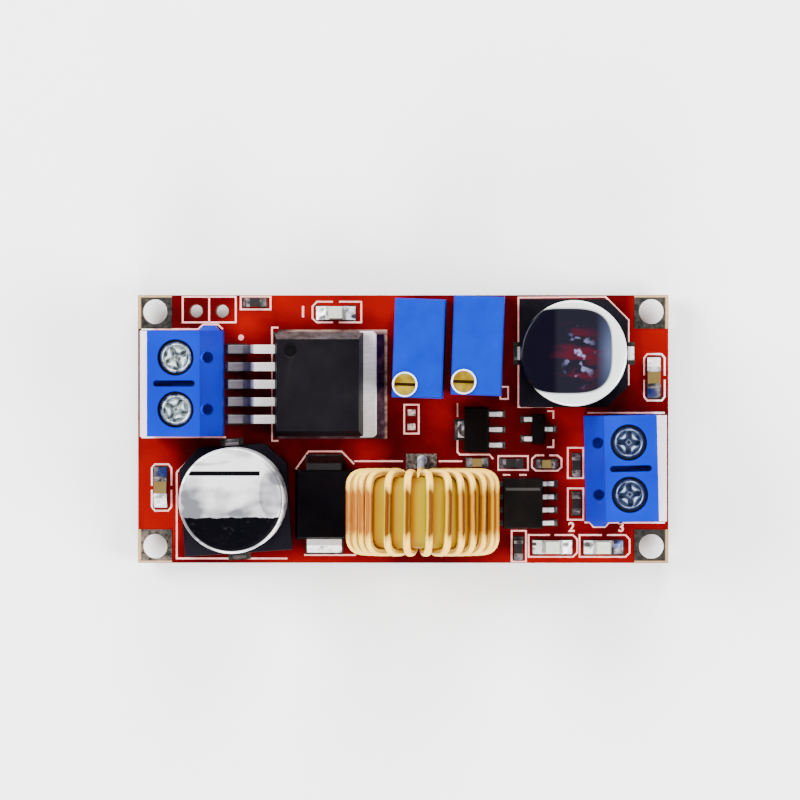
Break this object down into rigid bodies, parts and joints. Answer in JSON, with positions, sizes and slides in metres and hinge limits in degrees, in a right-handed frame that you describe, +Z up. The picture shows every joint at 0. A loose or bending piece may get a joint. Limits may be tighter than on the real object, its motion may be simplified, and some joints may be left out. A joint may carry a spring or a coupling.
{
  "type": "buck converter module",
  "caption": "Step-down converter board with screw terminals, multi-turn trimmers, can capacitors, a ring inductor and a five-lead regulator.",
  "frame": {"origin": "centre of the corner-hole pattern on the board's underside", "axes": "+X from the input terminals to the output terminals, +Y towards the trimmer edge, +Z up out of the parts side"},
  "size_m": [0.0516, 0.026, 0.0183],
  "materials": {
    "solder_mask": "glossy red solder mask",
    "tinned_copper": "tinned",
    "solder": "bright solder",
    "terminal_plastic": "moulded blue",
    "plated_contact": "plated",
    "trimmer_plastic": "moulded blue",
    "core_coating": "yellow epoxy coat",
    "enamelled_wire": "clear enamel",
    "black_moulding": "matt black moulding",
    "tinned_lead": "tin plated",
    "lamp_base": "pale laminate",
    "lamp_lens": "milky clear resin",
    "end_cap": "tinned",
    "resistor_glaze": "black glaze",
    "ceramic_tan": "tan ceramic",
    "bright_can": "bright drawn aluminium",
    "black_seat": "matt black",
    "plated_screw": "zinc plated",
    "trimmer_seal": "potting resin",
    "brass_screw": "turned brass",
    "white_collar": "white plastic",
    "carriage_plastic": "natural plastic",
    "element_ceramic": "ceramic"
  },
  "bodies": {
    "input_clamp_rear_body": {"input_clamp_rear": "plated_contact"},
    "input_screw_rear_body": {"input_screw_rear": "plated_screw"},
    "input_clamp_front_body": {"input_clamp_front": "plated_contact"},
    "input_screw_front_body": {"input_screw_front": "plated_screw"},
    "output_clamp_rear_body": {"output_clamp_rear": "plated_contact"},
    "output_screw_rear_body": {"output_screw_rear": "plated_screw"},
    "output_clamp_front_body": {"output_clamp_front": "plated_contact"},
    "output_screw_front_body": {"output_screw_front": "plated_screw"},
    "voltage_trimmer_screw_body": {"voltage_trimmer_screw": "brass_screw"},
    "voltage_trimmer_carriage_body": {"voltage_trimmer_carriage": "carriage_plastic"},
    "current_trimmer_screw_body": {"current_trimmer_screw": "brass_screw"},
    "current_trimmer_carriage_body": {"current_trimmer_carriage": "carriage_plastic"},
    "root": {"amplifier_body": "black_moulding", "amplifier_leads": "tinned_lead", "bias_regulator_body": "black_moulding", "bias_regulator_leads": "tinned_lead", "bottom_solder_joints": "solder", "ceramic_capacitor_bodies": "ceramic_tan", "ceramic_capacitor_end_caps": "end_cap", "circuit_board": "solder_mask", "current_trimmer_base": "trimmer_seal", "current_trimmer_collar": "white_collar", "current_trimmer_element": "element_ceramic", "current_trimmer_housing": "trimmer_plastic", "current_trimmer_pins": "tinned_lead", "diode_body": "black_moulding", "diode_terminals": "tinned_lead", "inductor_core": "core_coating", "inductor_winding": "enamelled_wire", "input_capacitor_base": "black_seat", "input_capacitor_can": "bright_can", "input_capacitor_terminals": "tinned_lead", "input_terminal_contacts": "plated_contact", "input_terminal_housing": "terminal_plastic", "led_bases": "lamp_base", "led_end_caps": "end_cap", "led_lenses": "lamp_lens", "output_capacitor_base": "black_seat", "output_capacitor_can": "bright_can", "output_capacitor_terminals": "tinned_lead", "output_terminal_contacts": "plated_contact", "output_terminal_housing": "terminal_plastic", "reference_body": "black_moulding", "reference_leads": "tinned_lead", "regulator_body": "black_moulding", "regulator_leads": "tinned_lead", "regulator_tab": "tinned_lead", "resistor_bodies": "resistor_glaze", "resistor_end_caps": "end_cap", "solder_pads": "tinned_copper", "top_solder_joints": "solder", "voltage_trimmer_base": "trimmer_seal", "voltage_trimmer_collar": "white_collar", "voltage_trimmer_element": "element_ceramic", "voltage_trimmer_housing": "trimmer_plastic", "voltage_trimmer_pins": "tinned_lead"}
  },
  "joints": [
    {"name": "input_clamp_rear_slide", "type": "slide", "parent": "root", "child": "input_clamp_rear_body", "axis": [0, 0, 1], "range_m": [-0.0018, 0]},
    {"name": "input_screw_rear_turn", "type": "hinge", "parent": "input_clamp_rear_body", "child": "input_screw_rear_body", "pos_m": [-0.02163, 0.00695, 0.0087], "axis": [0, 0, 1], "range_deg": [-1440.01, 0]},
    {"name": "input_clamp_front_slide", "type": "slide", "parent": "root", "child": "input_clamp_front_body", "axis": [0, 0, 1], "range_m": [-0.0018, 0]},
    {"name": "input_screw_front_turn", "type": "hinge", "parent": "input_clamp_front_body", "child": "input_screw_front_body", "pos_m": [-0.02163, 0.00195, 0.0087], "axis": [0, 0, 1], "range_deg": [-1440.01, 0]},
    {"name": "output_clamp_rear_slide", "type": "slide", "parent": "root", "child": "output_clamp_rear_body", "axis": [0, 0, 1], "range_m": [-0.0018, 0]},
    {"name": "output_screw_rear_turn", "type": "hinge", "parent": "output_clamp_rear_body", "child": "output_screw_rear_body", "pos_m": [0.02185, -0.00121, 0.0087], "axis": [0, 0, 1], "range_deg": [-1440.01, 0]},
    {"name": "output_clamp_front_slide", "type": "slide", "parent": "root", "child": "output_clamp_front_body", "axis": [0, 0, 1], "range_m": [-0.0018, 0]},
    {"name": "output_screw_front_turn", "type": "hinge", "parent": "output_clamp_front_body", "child": "output_screw_front_body", "pos_m": [0.02195, -0.00621, 0.0087], "axis": [0, 0, 1], "range_deg": [-1440.01, 0]},
    {"name": "voltage_trimmer_screw_turn", "type": "hinge", "parent": "root", "child": "voltage_trimmer_screw_body", "pos_m": [0.00038, 0.00436, 0.008], "axis": [0, 0, 1], "range_deg": [-4500.1, 4500.1]},
    {"name": "voltage_trimmer_carriage_slide", "type": "slide", "parent": "root", "child": "voltage_trimmer_carriage_body", "axis": [0, 0, 1], "range_m": [-0.003, 0.003]},
    {"name": "current_trimmer_screw_turn", "type": "hinge", "parent": "root", "child": "current_trimmer_screw_body", "pos_m": [0.00603, 0.00462, 0.008], "axis": [0, 0, 1], "range_deg": [-4500.1, 4500.1]},
    {"name": "current_trimmer_carriage_slide", "type": "slide", "parent": "root", "child": "current_trimmer_carriage_body", "axis": [0, 0, 1], "range_m": [-0.003, 0.003]}
  ],
  "couplings": [
    {"joint": "input_screw_rear_turn", "follows": "input_clamp_rear_slide", "rad_per_m": 13963},
    {"joint": "input_screw_front_turn", "follows": "input_clamp_front_slide", "rad_per_m": 13963},
    {"joint": "output_screw_rear_turn", "follows": "output_clamp_rear_slide", "rad_per_m": 13963},
    {"joint": "output_screw_front_turn", "follows": "output_clamp_front_slide", "rad_per_m": 13963},
    {"joint": "voltage_trimmer_screw_turn", "follows": "voltage_trimmer_carriage_slide", "rad_per_m": 26180},
    {"joint": "current_trimmer_screw_turn", "follows": "current_trimmer_carriage_slide", "rad_per_m": 26180}
  ]
}
